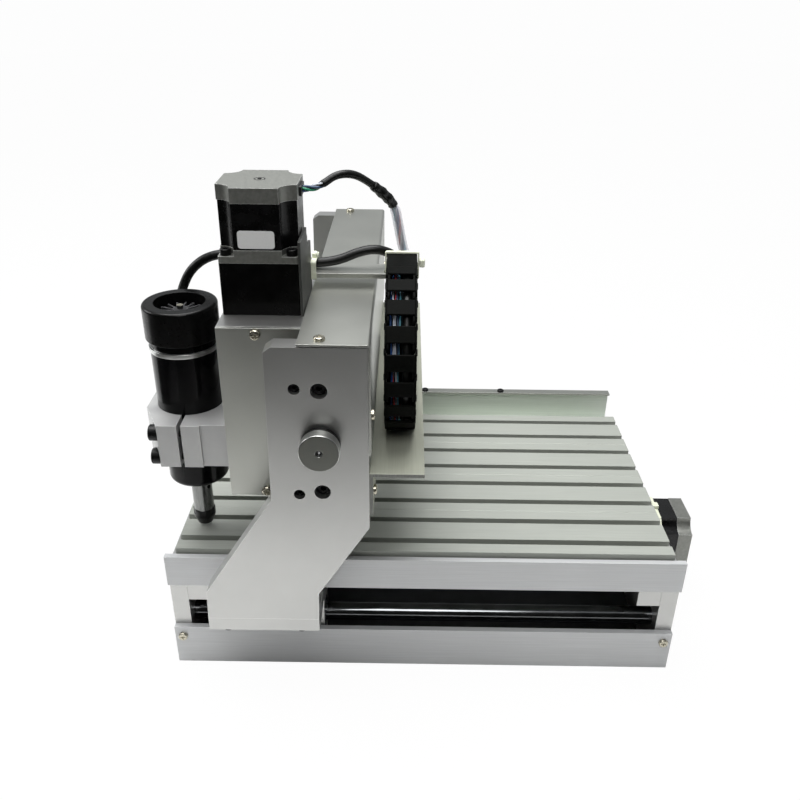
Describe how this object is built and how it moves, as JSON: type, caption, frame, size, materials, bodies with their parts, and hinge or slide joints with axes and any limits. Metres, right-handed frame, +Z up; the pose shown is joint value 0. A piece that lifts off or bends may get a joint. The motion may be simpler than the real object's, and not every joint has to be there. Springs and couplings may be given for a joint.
{
  "type": "cnc router",
  "caption": "Desktop gantry router with a T-slot table, screw-driven X, Y and Z axes and a clamped high-speed spindle with a collet.",
  "frame": {"origin": "centre of the base's underside", "axes": "+Z up, +Y towards the rear motor (the long way of the base), +X towards the handwheel side"},
  "size_m": [0.4505, 0.483, 0.4273],
  "materials": {
    "table_aluminium": "silver anodised extrusion with fine lengthwise die lines",
    "plate_aluminium": "silver anodised machined plate",
    "cover_sheet": "satin brushed sheet",
    "turned_aluminium": "turned, faint lathe rings",
    "motor_end_aluminium": "cast, satin",
    "ground_steel": "ground and polished shaft",
    "screw_steel": "nickel plated",
    "black_steel": "black oxide",
    "leadscrew_steel": "rolled thread",
    "bearing_steel": "ground",
    "nut_brass": "machined",
    "bottom_sheet": "dark satin",
    "motor_black": "gloss black",
    "block_black": "gloss black anodised",
    "spindle_black": "gloss black anodised",
    "cap_black": "moulded, gloss",
    "fan_black": "moulded",
    "chain_plastic": "moulded, satin",
    "tie_nylon": "translucent nylon",
    "lead_black": "smooth jacket"
  },
  "bodies": {
    "base": {"table_plate": "table_aluminium", "front_end_plate": "plate_aluminium", "rear_end_plate": "plate_aluminium", "side_rails": "plate_aluminium", "table_support_bars": "plate_aluminium", "bottom_plate": "bottom_sheet", "y_guide_rods": "ground_steel", "y_screw_bearing": "bearing_steel", "y_motor": "motor_black", "y_motor_tie": "tie_nylon", "base_screws": "screw_steel", "cable_tray": "cover_sheet"},
    "y_screw": {"y_leadscrew": "leadscrew_steel", "y_coupling": "turned_aluminium"},
    "gantry": {"right_side_plate": "plate_aluminium", "left_side_plate": "plate_aluminium", "cross_plate": "plate_aluminium", "y_bearing_blocks": "plate_aluminium", "y_linear_bearings": "bearing_steel", "y_nut": "nut_brass", "x_guide_rods": "ground_steel", "x_screw_bearings": "bearing_steel", "top_cover": "cover_sheet", "chain_shelf": "cover_sheet", "cover_screws": "screw_steel", "gantry_cap_screws": "black_steel", "x_motor_block": "block_black", "x_motor": "motor_black", "drag_chain": "chain_plastic"},
    "x_screw": {"x_leadscrew": "leadscrew_steel", "x_handwheel": "turned_aluminium", "x_coupling": "turned_aluminium"},
    "carriage": {"x_carriage_block": "plate_aluminium", "x_linear_bearings": "bearing_steel", "x_nut": "nut_brass", "z_end_plates": "plate_aluminium", "z_back_plate": "plate_aluminium", "z_side_covers": "cover_sheet", "z_box_screws": "screw_steel", "z_guide_rods": "ground_steel", "z_motor_block": "block_black", "z_motor_bells": "motor_end_aluminium", "z_motor_stack": "motor_black", "z_motor_screws": "black_steel", "cable_bracket": "cover_sheet", "cable_ties": "tie_nylon", "motor_lead": "lead_black", "spindle_lead": "lead_black"},
    "z_screw": {"z_leadscrew": "leadscrew_steel", "z_coupling": "turned_aluminium"},
    "z_slide": {"z_slide_block": "plate_aluminium", "z_linear_bearings": "bearing_steel", "z_nut": "nut_brass", "spindle_clamp": "plate_aluminium", "clamp_screws": "black_steel", "spindle_body": "spindle_black", "spindle_cap": "cap_black"},
    "spindle_rotor": {"spindle_shaft": "ground_steel", "collet_nut": "black_steel", "cooling_fan": "fan_black"}
  },
  "joints": [
    {"name": "gantry_y", "type": "slide", "parent": "base", "child": "gantry", "axis": [0, 1, 0], "range_m": [-0.009, 0.267]},
    {"name": "y_screw_spin", "type": "hinge", "parent": "base", "child": "y_screw", "pos_m": [0, 0, 0.0575], "axis": [0, 1, 0], "continuous": true},
    {"name": "carriage_x", "type": "slide", "parent": "gantry", "child": "carriage", "axis": [1, 0, 0], "range_m": [-0.186, 0.014], "deforming": ["drag_chain"]},
    {"name": "x_screw_spin", "type": "hinge", "parent": "gantry", "child": "x_screw", "pos_m": [0, -0.078, 0.2571], "axis": [1, 0, 0], "continuous": true},
    {"name": "slide_z", "type": "slide", "parent": "carriage", "child": "z_slide", "axis": [0, 0, 1], "range_m": [-0.004, 0.05], "deforming": ["spindle_lead"]},
    {"name": "z_screw_spin", "type": "hinge", "parent": "carriage", "child": "z_screw", "pos_m": [0.086, -0.1235, 0.25], "axis": [0, 0, 1], "continuous": true},
    {"name": "spindle_spin", "type": "hinge", "parent": "z_slide", "child": "spindle_rotor", "pos_m": [0.086, -0.191, 0.2], "axis": [0, 0, 1], "continuous": true}
  ],
  "couplings": [
    {"joint": "y_screw_spin", "follows": "gantry_y", "rad_per_m": 1570.8},
    {"joint": "x_screw_spin", "follows": "carriage_x", "rad_per_m": 1570.8},
    {"joint": "z_screw_spin", "follows": "slide_z", "rad_per_m": 1570.8}
  ]
}
